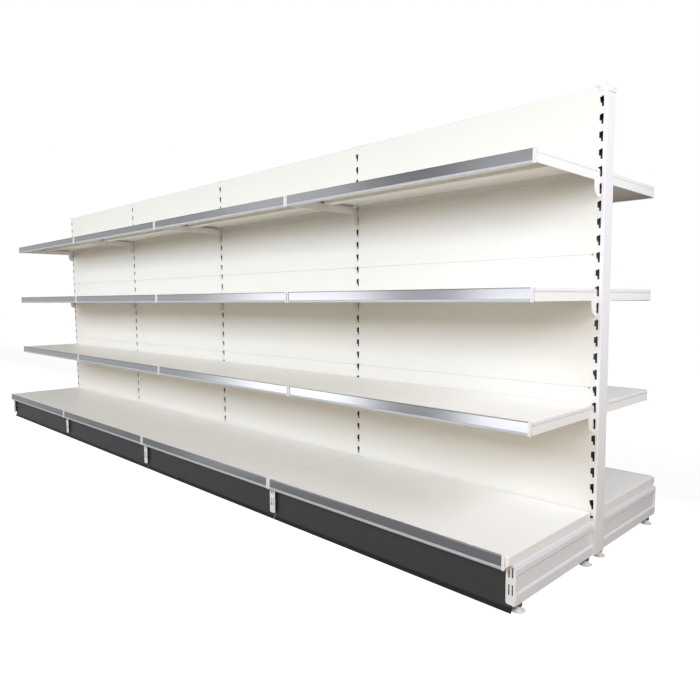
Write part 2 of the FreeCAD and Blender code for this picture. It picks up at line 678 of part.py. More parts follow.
def shelf_levels():
    """Top heights of the shelf levels that the uprights have slots for, by name."""
    levels = {}
    for step, name in enumerate(LEVEL_NAMES, start=1):
        index = round(step * SHELF_SPACING / SLOT_PITCH)
        if index < SLOT_COUNT:
            levels[name] = slot_ledge(index) + SHELF_ABOVE_LEDGE
    return levels


# Assembly

def at_ends(bay, side, inner, outer):
    """Values for the left and right ends of a bay's piece: inner between bays, outer at the run's ends."""
    values = [outer if bay == 0 else inner, outer if bay == BAY_COUNT - 1 else inner]
    return tuple(values if side == "front" else reversed(values))


def frame_nodes():
    """Solids of the standing frame, by node name."""
    uprights_x = [BAY_WIDTH * (index - BAY_COUNT / 2) for index in range(BAY_COUNT + 1)]
    bays_x = [x + HALF_BAY for x in uprights_x[:-1]]
    post = slotted_post()
    posts = [upright(post, index > 0, index < BAY_COUNT) for index in range(BAY_COUNT + 1)]
    cap = upright_cap()
    legs = {shift: base_leg(shift) for shift in (-END_LEG_SHIFT, 0.0, END_LEG_SHIFT)}
    feet = [Vector(0, -y, 0) for y in foot_places()]
    stems = [foot_stem().translated(place) for place in feet]
    pads = [foot_pad().translated(place) for place in feet]
    deck = base_deck()
    panels = [back_panel(bottom, top) for bottom, top in panel_levels()]
    hands = [shelf_bracket(is_left) for is_left in (False, True)]
    rails = [tie_rail(level) for level in RAIL_LEVELS]
    rail_fixings = [solid for level in RAIL_LEVELS for solid in rail_bolts(level)]
    nodes = {
        "uprights": [placed(drilled, x) for drilled, x in zip(posts, uprights_x)],
        "upright_caps": [placed(cap, x) for x in uprights_x],
        "tie_rails": [placed(rail, x) for x in bays_x for rail in rails],
        "frame_bolts": [placed(solid, x) for x in bays_x for solid in rail_fixings],
        "base_legs": [], "base_decks": [], "base_ticket_strips": [], "plinths": [],
        "back_panels": [], "shelf_brackets": [], "foot_stems": [], "foot_pads": [],
    }
    for side in ("front", "back"):
        for index, x in enumerate(uprights_x):
            nodes["base_legs"].append(placed(legs[leg_shift(index, side)], x, side))
            leg_x = x + leg_shift(index, "front")
            nodes["foot_stems"] += [placed(stem, leg_x, side) for stem in stems]
            nodes["foot_pads"] += [placed(pad, leg_x, side) for pad in pads]
        for bay, x in enumerate(bays_x):
            nodes["base_decks"] += [placed(solid, x, side, DECK_TOP) for solid in deck]
            insets = at_ends(bay, side, STRIP_INSET, DECK_STRIP_END_INSET)
            nodes["base_ticket_strips"].append(placed(ticket_strip(DECK_DEPTH, *insets), x, side, DECK_TOP))
            leg_places = at_ends(bay, side, HALF_BAY, HALF_BAY - END_LEG_SHIFT)
            nodes["plinths"].append(placed(plinth(*leg_places), x, side))
            nodes["back_panels"] += [placed(panel, x, side) for panel in panels]
            for top in shelf_levels().values():
                nodes["shelf_brackets"] += [placed(hand, x, side, top) for hand in hands]
    return nodes


def shelf_nodes():
    """Trays and their ticket strips, by node name."""
    tray = pan(SHELF_DEPTH, SHELF_EDGE, BRACKET_NECK + NECK_GAP - PAN_REAR_GAP, SHELF_LIP_HALF)
    strip = ticket_strip(SHELF_DEPTH, STRIP_INSET, STRIP_INSET)
    nodes = {}
    for side in ("front", "back"):
        for bay in range(BAY_COUNT):
            x = BAY_WIDTH * (bay + 0.5 - BAY_COUNT / 2)
            for level, top in shelf_levels().items():
                place = f"{side}_bay{bay + 1}_{level}"
                nodes[f"shelf_{place}"] = [placed(solid, x, side, top) for solid in tray]
                nodes[f"ticket_strip_{place}"] = [placed(strip, x, side, top)]
    return nodes


def main():
    """Write one STEP file for each node."""
    os.makedirs("parts", exist_ok=True)
    for name, solids in {**frame_nodes(), **shelf_nodes()}.items():
        shape = solids[0] if len(solids) == 1 else Part.makeCompound(solids)
        shape.exportStep(f"parts/{name}.step")


main()
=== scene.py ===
"""Looks of a double-sided gondola shelving run: painted steel, ticket strips, feet, studio and camera.

Metres, +Z up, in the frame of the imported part. The front of the run faces -Y and its near end is at +X.
"""
from __future__ import annotations

import logging
import math
from abc import ABC, abstractmethod
from collections.abc import Mapping, Sequence
from dataclasses import dataclass
from enum import Enum, IntEnum
from typing import Any

import bmesh
import bpy
from mathutils import Matrix, Vector

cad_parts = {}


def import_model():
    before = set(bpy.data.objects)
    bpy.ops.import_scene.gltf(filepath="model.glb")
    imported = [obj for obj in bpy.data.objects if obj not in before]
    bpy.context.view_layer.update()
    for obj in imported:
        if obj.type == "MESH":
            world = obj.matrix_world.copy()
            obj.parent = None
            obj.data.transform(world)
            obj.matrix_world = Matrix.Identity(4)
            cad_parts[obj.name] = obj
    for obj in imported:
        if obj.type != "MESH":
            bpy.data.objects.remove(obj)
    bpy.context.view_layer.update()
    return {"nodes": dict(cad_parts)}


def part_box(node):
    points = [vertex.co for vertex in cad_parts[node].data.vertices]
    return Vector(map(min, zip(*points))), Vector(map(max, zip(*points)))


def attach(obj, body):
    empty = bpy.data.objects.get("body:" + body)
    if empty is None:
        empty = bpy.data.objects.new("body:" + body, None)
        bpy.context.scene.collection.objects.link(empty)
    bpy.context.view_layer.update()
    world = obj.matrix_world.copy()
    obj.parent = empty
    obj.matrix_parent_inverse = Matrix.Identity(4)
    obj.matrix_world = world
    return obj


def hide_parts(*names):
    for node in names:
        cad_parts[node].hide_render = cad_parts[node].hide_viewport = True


LOG = logging.getLogger("gondola")
SHARP_ANGLE = math.radians(32)
SAME_PLACE = 1e-6  # distance below which two points count as one
FRAME_WHITE = (0.84, 0.835, 0.825)
TRAY_WHITE = (0.90, 0.885, 0.845)
Colour = tuple[float, float, float]
Triple = tuple[float, float, float]
Span = tuple[float, float]


class PaintSlot(Enum):
    """Finishes that the part's record names."""

    FRAME = "frame_paint"
    LEG = "leg_paint"
    PANEL = "panel_paint"
    SHELF = "shelf_paint"
    TICKET = "ticket_silver"
    PLINTH = "plinth_paint"
    CAP = "cap_plastic"
    PAD = "pad_plastic"
    ZINC = "zinc_steel"


class Side(Enum):
    """The two faces of the run, with the sign of their outward Y direction."""

    FRONT = -1
    BACK = 1

    @property
    def label(self) -> str:
        """Word used in the names of pieces."""
        return self.name.lower()


class Level(Enum):
    """Shelf levels from the floor up."""

    LOWER = "lower"
    MIDDLE = "middle"
    UPPER = "upper"


class ShaderGraph:
    """Node tree of a material or world, built through one method."""

    NOISE_ROUGHNESS = 0.55
    MIX_COLOURS = (6, 7)  # inputs of a Mix node that take its two colours
    MIX_RESULT = 2  # output of a Mix node that gives the mixed colour

    def __init__(self, tree: bpy.types.ShaderNodeTree) -> None:
        """Empty the tree so that it holds only what is added here."""
        self.tree = tree
        tree.nodes.clear()

    def node(
        self,
        kind: str,
        settings: Mapping[str, Any] | None = None,
        inputs: Mapping[int | str, Any] | None = None,
        output: int | str = 0,
    ) -> Signal:
        """Add one node.

        Args:
            kind: Blender's name of the node type.
            settings: properties that are set before the sockets.
            inputs: value or signal for each named or numbered socket.
            output: socket that the result stands for.

        Returns:
            The chosen output, ready for arithmetic.
        """
        made = self.tree.nodes.new(kind)
        for key, value in (settings or {}).items():
            setattr(made, key, value)
        for key, value in (inputs or {}).items():
            if isinstance(value, Signal):
                self.tree.links.new(value.socket, made.inputs[key])
            else:
                made.inputs[key].default_value = value
        return Signal(self, made.outputs[output] if made.outputs else None)

    def math(self, operation: str, *values: Signal | float) -> Signal:
        """Math node on numbers or signals."""
        return self.node("ShaderNodeMath", {"operation": operation}, dict(enumerate(values)))

    def place(self) -> Signal:
        """Object coordinates, which are the run's own metres."""
        return self.node("ShaderNodeTexCoord", output="Object")

    def axes(self, vector: Signal) -> tuple[Signal, Signal, Signal]:
        """X, Y and Z of a vector."""
        outputs = self.node("ShaderNodeSeparateXYZ", inputs={"Vector": vector}).socket.node.outputs
        return Signal(self, outputs[0]), Signal(self, outputs[1]), Signal(self, outputs[2])

    def stretched(self, vector: Signal, factors: Triple) -> Signal:
        """Vector scaled by its own factor along each axis."""
        return self.node("ShaderNodeVectorMath", {"operation": "MULTIPLY"}, {0: vector, 1: factors})

    def facing(self, direction: Signal, axis: Triple) -> Signal:
        """Cosine between a direction and an axis, 0 where it points away."""
        cosine = self.node(
            "ShaderNodeVectorMath", {"operation": "DOT_PRODUCT"}, {0: direction, 1: axis}, output="Value",
        )
        return self.math("MAXIMUM", cosine, 0.0)

    def total(self, first: Signal, second: Signal) -> Signal:
        """Sum of two colours."""
        return self.node("ShaderNodeVectorMath", {"operation": "ADD"}, {0: first, 1: second})

    def noise(self, vector: Signal, size: float, detail: float = 2.0) -> Signal:
        """Noise from -0.5 to 0.5 with features of about the given size in metres."""
        inputs = {"Vector": vector, "Scale": 1 / size, "Detail": detail, "Roughness": self.NOISE_ROUGHNESS}
        return self.node("ShaderNodeTexNoise", inputs=inputs) - 0.5

    def step(self, value: Signal, low: float, high: float) -> Signal:
        """Smooth rise from 0 at low to 1 at high."""
        inputs = {"Value": value, "From Min": low, "From Max": high}
        return self.node("ShaderNodeMapRange", {"interpolation_type": "SMOOTHSTEP"}, inputs)

    def shaded(self, colour: Colour, brightness: Signal) -> Signal:
        """Colour made lighter or darker by a signal about 1."""
        return self.node("ShaderNodeVectorMath", {"operation": "SCALE"}, {0: colour, "Scale": brightness})

    def blended(self, factor: Signal, first: Signal | Colour, second: Signal | Colour) -> Signal:
        """Mix of two colours.

        Args:
            factor: 0 for the first colour and 1 for the second.
            first: colour, plain or varying.
            second: colour, plain or varying.

        Returns:
            Mixed colour.
        """
        ends = [end if isinstance(end, Signal) else (*end, 1.0) for end in (first, second)]
        inputs = {0: factor, **dict(zip(self.MIX_COLOURS, ends))}
        return self.node("ShaderNodeMix", {"data_type": "RGBA"}, inputs, output=self.MIX_RESULT)

    def bumped(self, height: Signal) -> Signal:
        """Normal for a relief given in metres."""
        return self.node("ShaderNodeBump", inputs={"Strength": 1.0, "Distance": 1.0, "Height": height})

    def principled(self, inputs: Mapping[str, Any]) -> Signal:
        """Principled surface with the given sockets."""
        return self.node("ShaderNodeBsdfPrincipled", inputs=inputs)


@dataclass(frozen=True)
class Signal:
    """Shader socket that takes part in Python arithmetic."""

    graph: ShaderGraph
    socket: bpy.types.NodeSocket | None

    def __add__(self, other: Signal | float) -> Signal:
        """Sum."""
        return self.graph.math("ADD", self, other)

    __radd__ = __add__

    def __sub__(self, other: Signal | float) -> Signal:
        """Difference."""
        return self.graph.math("SUBTRACT", self, other)

    def __rsub__(self, other: float) -> Signal:
        """Difference from a number."""
        return self.graph.math("SUBTRACT", other, self)

    def __mul__(self, other: Signal | float) -> Signal:
        """Product."""
        return self.graph.math("MULTIPLY", self, other)

    __rmul__ = __mul__

    def __abs__(self) -> Signal:
        """Size without the sign."""
        return self.graph.math("ABSOLUTE", self)

    def __lt__(self, other: Signal | float) -> Signal:
        """1 where this is less, else 0."""
        return self.graph.math("LESS_THAN", self, other)


@dataclass(frozen=True)
class Finish(ABC):
    """Named surface finish that makes its own material."""

    name: str
    slot: PaintSlot

    @abstractmethod
    def surface(self, graph: ShaderGraph) -> Signal:
        """Shader of the finish."""

    def material(self) -> bpy.types.Material:
        """Make the finish's material when it is first asked for.

        Returns:
            Blender material of this finish.
        """
        known = bpy.data.materials.get(self.name)
        if known:
            return known
        material = bpy.data.materials.new(self.name)
        material.use_nodes = True
        graph = ShaderGraph(material.node_tree)
        graph.node("ShaderNodeOutputMaterial", inputs={"Surface": self.surface(graph)})
        return material


@dataclass(frozen=True)
class PowderCoat(Finish):
    """Satin powder coat on sheet steel, with its orange peel and the sheet's slight waviness."""

    colour: Colour
    roughness: float = 0.42
    mottle: float = 0.03
    cloud_size: float = 0.16
    speck_size: float = 0.004
    speck_share: float = 0.5
    sheen_size: float = 0.06
    sheen_change: float = 0.12
    peel_size: float = 0.0018
    peel_height: float = 0.000012
    wave_size: float = 0.28
    wave_height: float = 0.00035
    scuff: float = 0.0
    scuff_colour: Colour = (0.42, 0.41, 0.40)
    scuff_size: float = 0.006
    scuff_stretch: Triple = (0.12, 1.0, 1.0)
    scuff_edge: Span = (0.10, 0.24)
    scuff_reach: Span = (0.004, 0.045)

    def surface(self, graph: ShaderGraph) -> Signal:
        """Paint with its clouds, specks, orange peel and waves.

        Args:
            graph: material being built.

        Returns:
            Shader of the finish.
        """
        place = graph.place()
        cloud = graph.noise(place, self.cloud_size, detail=3.0)
        speck = graph.noise(place, self.speck_size, detail=1.0)
        brightness = 1 + self.mottle * cloud + self.speck_share * self.mottle * speck
        colour = self.tinted(graph, place, graph.shaded(self.colour, brightness))
        roughness = self.roughness + self.sheen_change * graph.noise(place, self.sheen_size, detail=3.0)
        peel = graph.noise(place, self.peel_size, detail=1.0)
        wave = graph.noise(place, self.wave_size, detail=1.0)
        normal = graph.bumped(self.peel_height * peel + self.wave_height * wave)
        return graph.principled({"Base Color": colour, "Roughness": roughness, "Normal": normal})

    def tinted(self, graph: ShaderGraph, place: Signal, colour: Signal) -> Signal:
        """Paint with the scuffs that shoes and mops leave near the floor.

        Args:
            graph: material being built.
            place: object coordinates.
            colour: clean paint.

        Returns:
            Paint colour with its marks.
        """
        if not self.scuff:
            return colour
        streaks = graph.noise(graph.stretched(place, self.scuff_stretch), self.scuff_size, detail=4.0)
        height = graph.axes(place)[2]
        marks = graph.step(streaks, *self.scuff_edge) * (1 - graph.step(height, *self.scuff_reach))
        return graph.blended(self.scuff * marks, colour, self.scuff_colour)


@dataclass(frozen=True)
class PostPaint(PowderCoat):
    """Powder coat of the uprights, with near-black painted shade inside the tubes, so that the slots look
    dark.
    """

    bay_width: float = 1.0
    inner_width: float = 0.0272
    inner_depth: float = 0.0568
    # Near-black painted shade that fills the tube, standing in for the dark seen through the slots.
    inside: Colour = (0.012, 0.012, 0.013)

    def tinted(self, graph: ShaderGraph, place: Signal, colour: Signal) -> Signal:
        """Paint outside the tube and near-black painted shade inside it.

        Args:
            graph: material being built.
            place: object coordinates.
            colour: clean paint.

        Returns:
            Colour of the post, outside and inside.
        """
        along, across, _ = graph.axes(place)
        bays = along * (1 / self.bay_width)
        offset = abs(bays - graph.math("ROUND", bays)) * self.bay_width
        # Mask of the tube's inside faces, which get the painted shade.
        inside = (offset < self.inner_width / 2) * (abs(across) < self.inner_depth / 2)
        return graph.blended(inside, colour, self.inside)


@dataclass(frozen=True)
class BracketPaint(PowderCoat):
    """Powder coat of the brackets, with a painted shadow line in the seam under the trays' side folds."""

    seams: tuple[float, ...] = (0.484, 0.834, 1.184)
    seam_height: float = 0.0026
    seam_core: float = 0.0008
    # Grey of the painted shadow line along each seam.
    seam_shade: Colour = (0.66, 0.65, 0.66)

    def tinted(self, graph: ShaderGraph, place: Signal, colour: Signal) -> Signal:
        """Clean paint with a grey painted shadow line along each tray.

        Args:
            graph: material being built.
            place: object coordinates.
            colour: clean paint.

        Returns:
            Paint colour with the painted shadow lines at the seams.
        """
        height = graph.axes(place)[2]
        half = self.seam_height / 2
        for seam in self.seams:
            # Painted shadow: darker within a few millimetres under each tray's seat.
            near = 1 - graph.step(abs(height - (seam - half)), self.seam_core, half)
            colour = graph.blended(near, colour, self.seam_shade)
        return colour


@dataclass(frozen=True)
class PlinthPaint(PowderCoat):
    """Dark powder coat of the plinths, with near-black painted shade along the kicked-out lip."""

    lip_start: float = 0.0125
    lip_end: float = 0.0185
    # Near-black painted shade of the lip near the floor.
    lip: Colour = (0.006, 0.006, 0.0065)

    def tinted(self, graph: ShaderGraph, place: Signal, colour: Signal) -> Signal:
        """Clean paint above and the painted shade of the lip below.

        Args:
            graph: material being built.
            place: object coordinates.
            colour: clean paint.

        Returns:
            Paint colour with the painted shade on the lip, and the scuffs.
        """
        height = graph.axes(place)[2]
        # Painted shade on the lip: 0 below lip_start, rising to plain paint at lip_end.
        clean = graph.step(height, self.lip_start, self.lip_end)
        return graph.blended(clean, self.lip, super().tinted(graph, place, colour))


@dataclass(frozen=True)
class SatinAluminium(Finish):
    """Extruded aluminium with fine drawing lines along the run."""

    colour: Colour = (0.66, 0.67, 0.70)
    roughness: float = 0.13
    metallic: float = 1.0
    drawing: Triple = (0.004, 1.0, 1.0)
    line_size: float = 0.0009
    line_height: float = 0.000004
    line_tint: float = 0.05
    line_sheen: float = 0.04
    band_size: float = 0.006
    band_tint: float = 0.06
    smudge_size: float = 0.11
    smudge_tint: float = 0.02
    smudge_sheen: float = 0.03

    def surface(self, graph: ShaderGraph) -> Signal:
        """Metal with its drawing lines, bands and smudges.

        Args:
            graph: material being built.

        Returns:
            Shader of the finish.
        """
        place = graph.place()
        drawn = graph.stretched(place, self.drawing)
        lines = graph.noise(drawn, self.line_size)
        bands = graph.noise(drawn, self.band_size, detail=1.0)
        smudge = graph.noise(place, self.smudge_size, detail=3.0)
        brightness = 1 + self.band_tint * bands + self.line_tint * lines + self.smudge_tint * smudge
        return graph.principled({
            "Base Color": graph.shaded(self.colour, brightness),
            "Metallic": self.metallic,
            "Roughness": self.roughness + self.line_sheen * lines + self.smudge_sheen * smudge,
            "Normal": graph.bumped(self.line_height * lines),
        })


@dataclass(frozen=True)
class MouldedPlastic(Finish):
    """Injection-moulded plastic with a fine spark-eroded grain."""

    colour: Colour
    roughness: float = 0.48
    cloud_size: float = 0.02
    cloud_tint: float = 0.05
    cloud_sheen: float = 0.10
    grain_size: float = 0.0007
    grain_height: float = 0.00001
    grain_tint: float = 0.03

    def surface(self, graph: ShaderGraph) -> Signal:
        """Plastic with its clouds and grain.

        Args:
            graph: material being built.

        Returns:
            Shader of the finish.
        """
        place = graph.place()
        grain = graph.noise(place, self.grain_size)
        cloud = graph.noise(place, self.cloud_size, detail=3.0)
        brightness = 1 + self.cloud_tint * cloud + self.grain_tint * grain
        return graph.principled({
            "Base Color": graph.shaded(self.colour, brightness),
            "Roughness": self.roughness + self.cloud_sheen * cloud,
            "Normal": graph.bumped(self.grain_height * grain),
        })


@dataclass(frozen=True)
class ZincPlate(Finish):
    """Zinc-plated steel with a patchy, slightly dulled skin; its colour is darkened as painted shade for the
    stems under the legs.
    """

    # Darker than bare zinc: painted shade for the stems in the gap under the legs; the frame bolts share it.
    colour: Colour = (0.30, 0.30, 0.295)
    roughness: float = 0.38
    patch_size: float = 0.004
    patch_tint: float = 0.35
    patch_sheen: float = 0.25
    grit_size: float = 0.0006
    grit_height: float = 0.000008

    def surface(self, graph: ShaderGraph) -> Signal:
        """Plated metal with its dull patches and grit.

        Args:
            graph: material being built.

        Returns:
            Shader of the finish.
        """
        place = graph.place()
        patches = graph.noise(place, self.patch_size, detail=3.0)
        grit = graph.noise(place, self.grit_size, detail=1.0)
        return graph.principled({
            "Base Color": graph.shaded(self.colour, 1 + self.patch_tint * patches),
            "Metallic": 1.0,
            "Roughness": self.roughness + self.patch_sheen * patches,
            "Normal": graph.bumped(self.grit_height * grit),
        })


@dataclass(frozen=True)
class FinishCard:
    """All finishes of the run."""

    post: Finish = PostPaint("post_powder_coat", PaintSlot.FRAME, colour=FRAME_WHITE)
    frame: Finish = PowderCoat("frame_powder_coat", PaintSlot.FRAME, colour=FRAME_WHITE)
    leg: Finish = PowderCoat("leg_powder_coat", PaintSlot.LEG, colour=(0.80, 0.797, 0.805), scuff=0.25)
    panel: Finish = PowderCoat("panel_powder_coat", PaintSlot.PANEL, colour=(0.86, 0.845, 0.80))
    shelf: Finish = PowderCoat(
        "shelf_powder_coat", PaintSlot.SHELF, colour=TRAY_WHITE, roughness=0.34, peel_height=0.000005,
    )
    bracket: Finish = BracketPaint("bracket_powder_coat", PaintSlot.SHELF, colour=TRAY_WHITE, roughness=0.34)
    plinth: Finish = PlinthPaint(
        "plinth_powder_coat", PaintSlot.PLINTH, colour=(0.040, 0.040, 0.044), roughness=0.46,
        mottle=0.10, scuff=0.10,
    )
    strip: Finish = SatinAluminium("strip_satin_aluminium", PaintSlot.TICKET)
    strip_lip: Finish = SatinAluminium(
        "strip_lip_aluminium", PaintSlot.TICKET, colour=(0.62, 0.63, 0.66), roughness=0.38, metallic=0.45,
    )
    strip_end: Finish = MouldedPlastic("strip_end_plastic", PaintSlot.TICKET, colour=(0.80, 0.80, 0.81))
    cap: Finish = MouldedPlastic("cap_moulded_plastic", PaintSlot.CAP, colour=(0.84, 0.84, 0.83))
    pad: Finish = MouldedPlastic("pad_moulded_plastic", PaintSlot.PAD, colour=(0.80, 0.80, 0.79))
    zinc: Finish = ZincPlate("zinc_plated_steel", PaintSlot.ZINC)


@dataclass(frozen=True)
class Run:
    """Bays of the run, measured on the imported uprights."""

    bay_count: int
    first_post: float
    bay_width: float

    @classmethod
    def measured(cls, bay_count: int = 4, post_width: float = 0.030) -> Run:
        """Read the posts' places from the frame.

        Args:
            bay_count: bays between the first and the last post.
            post_width: size of a post along the run.

        Returns:
            Layout of the run.
        """
        low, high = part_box("uprights")
        width = (high.x - low.x - post_width) / bay_count
        return cls(bay_count, low.x + post_width / 2, width)

    def posts(self) -> list[float]:
        """X of every post's centreline."""
        return [self.first_post + self.bay_width * index for index in range(self.bay_count + 1)]

    def bay_centres(self) -> list[float]:
        """X of every bay's middle."""
        return [post + self.bay_width / 2 for post in self.posts()[:-1]]


class Workbench:
    """Shared steps that turn a bmesh into a finished piece."""

    @staticmethod
    def bar(outline: Sequence[tuple[float, float]], rounds: Mapping[float, Sequence[int]],
            low: float, high: float, segments: int = 4) -> bmesh.types.BMesh:
        """Straight bar along X with rounded corners in its section.

        Args:
            outline: (y, z) corners of the section.
            rounds: corner numbers for each radius.
            low: X where the bar starts.
            high: X where it ends.
            segments: facets of a rounded corner.

        Returns:
            Closed shape of the bar.
        """
        shape = bmesh.new()
        corners = [shape.verts.new((low, y, z)) for y, z in outline]
        shape.faces.new(corners)
        for radius, numbers in rounds.items():
            bmesh.ops.bevel(shape, geom=[corners[n] for n in numbers], offset=radius, affect="VERTICES",
                            segments=segments, profile=0.5, material=-1)
        swept = bmesh.ops.extrude_face_region(shape, geom=shape.faces[:])
        moved = [item for item in swept["geom"] if isinstance(item, bmesh.types.BMVert)]
        bmesh.ops.translate(shape, verts=moved, vec=(high - low, 0, 0))
        bmesh.ops.recalc_face_normals(shape, faces=shape.faces[:])
        return shape

    @staticmethod
    def block(low: Sequence[float], high: Sequence[float], bevel: float) -> bmesh.types.BMesh:
        """Box between two corners with softened edges.

        Args:
            low: lowest corner.
            high: highest corner.
            bevel: how far the edges are rounded in.

        Returns:
            Closed shape of the box.
        """
        shape = bmesh.new()
        bmesh.ops.create_cube(shape, size=1.0)
        size = [b - a for a, b in zip(low, high)]
        middle = [(a + b) / 2 for a, b in zip(low, high)]
        bmesh.ops.scale(shape, vec=size, verts=shape.verts[:])
        bmesh.ops.translate(shape, vec=middle, verts=shape.verts[:])
        bmesh.ops.bevel(shape, geom=shape.edges[:], offset=bevel, affect="EDGES", segments=3, profile=0.5,
                        material=-1)
        return shape

    @staticmethod
    def add(target: bmesh.types.BMesh, part: bmesh.types.BMesh, material: int = 0) -> None:
        """Put a finished shape into another one and free it.

        Args:
            target: shape that grows.
            part: shape that is taken in.
            material: material number of the part's faces.
        """
        for face in part.faces:
            face.material_index = material
        mesh = bpy.data.meshes.new("part")
        part.to_mesh(mesh)
        part.free()
        target.from_mesh(mesh)
        bpy.data.meshes.remove(mesh)

    @staticmethod
    def turned(points: Sequence[tuple[float, float]], steps: int) -> bmesh.types.BMesh:
        """Shape turned about Z from (radius, z) points.

        Args:
            points: section from the axis at the bottom round to the axis at the top.
            steps: facets of the full turn.

        Returns:
            Closed shape with merged poles.
        """
        shape = bmesh.new()
        verts = [shape.verts.new((radius, 0, z)) for radius, z in points]
        edges = [shape.edges.new(pair) for pair in zip(verts, verts[1:])]
        bmesh.ops.spin(shape, geom=verts + edges, cent=(0, 0, 0), axis=(0, 0, 1), angle=math.tau,
                       steps=steps, use_merge=True)
        bmesh.ops.remove_doubles(shape, verts=shape.verts[:], dist=SAME_PLACE)
        bmesh.ops.recalc_face_normals(shape, faces=shape.faces[:])
        return shape

    @staticmethod
    def hand_over(shape: bmesh.types.BMesh, name: str, finishes: Sequence[Finish], body: str,
                  node: str) -> None:
        """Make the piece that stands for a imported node.

        Args:
            shape: finished geometry in the run's frame, which is freed.
            name: name of the piece.
            finishes: materials in the order of the shape's material numbers.
            body: body that the piece moves with.
            node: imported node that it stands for.
        """
        mesh = bpy.data.meshes.new(name)
        shape.to_mesh(mesh)
        shape.free()
        for finish in finishes:
            mesh.materials.append(finish.material())
        mesh.shade_smooth()
        mesh.set_sharp_from_angle(angle=SHARP_ANGLE)
        piece = bpy.data.objects.new(name, mesh)
        bpy.context.scene.collection.objects.link(piece)
        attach(piece, body)
        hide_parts(node)
        LOG.info("%s stands for %s and rides on %s", name, node, body)


@dataclass
class SteelWork:
    """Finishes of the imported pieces, also of those that a modelled piece stands for."""

    card: FinishCard

    def plan(self) -> dict[str, Finish]:
        """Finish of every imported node, by the start of its name."""
        return {
            "uprights": self.card.post, "tie_rails": self.card.frame, "frame_bolts": self.card.zinc,
            "base_legs": self.card.leg, "base_decks": self.card.shelf, "plinths": self.card.plinth,
            "back_panels": self.card.panel, "shelf_brackets": self.card.bracket,
            "shelf_front": self.card.shelf, "shelf_back": self.card.shelf,
            "ticket_strip": self.card.strip, "base_ticket_strips": self.card.strip,
            "upright_caps": self.card.cap, "foot_stems": self.card.zinc, "foot_pads": self.card.pad,
        }

    def dress(self, nodes: Mapping[str, bpy.types.Object]) -> None:
        """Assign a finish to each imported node.

        Args:
            nodes: packed objects by node name.
        """
        plan = self.plan()
        for name, node in nodes.items():
            start = max((key for key in plan if name.startswith(key)), key=len)
            node.data.materials.clear()
            node.data.materials.append(plan[start].material())
            LOG.info("%s is finished in %s", name, plan[start].name)


class StripPart(IntEnum):
    """Parts of a label strip, with their material numbers."""

    FACE = 0
    END = 1
    LIP = 2


@dataclass
class TicketStrip:
    """Aluminium label strip on the front of a tray, with moulded ends.

    An outline lists (reach, height) corners, and the numbers in its rounds count those corners from 0.
    """

    card: FinishCard
    top_lip: float = 0.0030
    top_slope: float = 0.0020
    top_depth: float = 0.0046
    face_depth: float = 0.0028
    face_slope: float = 0.0009
    lower_lip: float = 0.0090
    lip_round: float = 0.0020
    edge_round: float = 0.0007
    end_length: float = 0.0070
    end_step: float = 0.0002

    def build(self, name: str, node: str, body: str, side: Side, low: Vector, high: Vector) -> None:
        """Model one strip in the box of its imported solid.

        Args:
            name: name of the piece.
            node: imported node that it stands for.
            body: body that it moves with.
            side: face of the run that it is on.
            low: lowest corner of the strip.
            high: highest corner of the strip.
        """
        back = high.y if side is Side.FRONT else low.y
        depth = high.y - low.y
        lip_top = low.z + self.lower_lip
        lip_bottom = high.z - self.top_lip
        face = [
            (0.0, low.z), (0.0, high.z),
            (self.top_depth - self.top_slope, high.z), (self.top_depth, lip_bottom),
            (self.face_depth, lip_bottom), (self.face_depth + self.face_slope, lip_top),
            (depth, lip_top), (depth, low.z),
        ]
        outline = [(back + side.value * reach, z) for reach, z in face]
        rounds = {self.edge_round: (2, 3), self.lip_round: (6, 7)}
        shape = Workbench.bar(outline, rounds, low.x + self.end_length, high.x - self.end_length)
        for facet in shape.faces:
            on_lip = facet.calc_center_median().z < lip_top + self.edge_round
            facet.material_index = StripPart.LIP if on_lip else StripPart.FACE
        end_face = [
            (0.0, low.z), (0.0, high.z), (self.top_depth + self.end_step, high.z),
            (depth + self.end_step, low.z + self.lower_lip / 2), (depth + self.end_step, low.z),
        ]
        end_outline = [(back + side.value * reach, z) for reach, z in end_face]
        for start, stop in ((low.x, low.x + self.end_length), (high.x - self.end_length, high.x)):
            end = Workbench.bar(end_outline, {self.edge_round: (2, 3, 4)}, start, stop)
            Workbench.add(shape, end, material=StripPart.END)
        finishes = (self.card.strip, self.card.strip_end, self.card.strip_lip)
        Workbench.hand_over(shape, name, finishes, body, node)


@dataclass
class StripSet:
    """All label strips: one on each shelf tray and one on each base deck."""

    card: FinishCard
    run: Run
    inset: float = 0.002
    depth: float = 0.006

    def build(self) -> None:
        """Model the strips of every bay, side and level."""
        strip = TicketStrip(self.card)
        all_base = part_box("base_ticket_strips")
        for side in Side:
            for bay, centre in enumerate(self.run.bay_centres(), start=1):
                for level in Level:
                    place = f"{side.label}_bay{bay}_{level.value}"
                    node = f"ticket_strip_{place}"
                    strip.build(f"strip_{place}", node, f"tray_{place}", side, *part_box(node))
                low, high = self.base_box(side, centre, *all_base)
                name = f"base_strip_{side.label}_bay{bay}"
                strip.build(name, "base_ticket_strips", "frame", side, low, high)

    def base_box(self, side: Side, centre: float, low: Vector, high: Vector) -> tuple[Vector, Vector]:
        """Corners of the strip on one base deck.

        Args:
            side: face of the run that the deck is on.
            centre: middle of its bay.
            low: lowest corner of all base strips, which ends the first bay's strip.
            high: highest corner of all base strips, which ends the last bay's strip.

        Returns:
            Lowest and highest corners of this strip.
        """
        half = self.run.bay_width / 2 - self.inset
        x_low = max(centre - half, low.x)
        x_high = min(centre + half, high.x)
        y_low, y_high = (low.y, low.y + self.depth) if side is Side.FRONT else (high.y - self.depth, high.y)
        return Vector((x_low, y_low, low.z)), Vector((x_high, y_high, high.z))


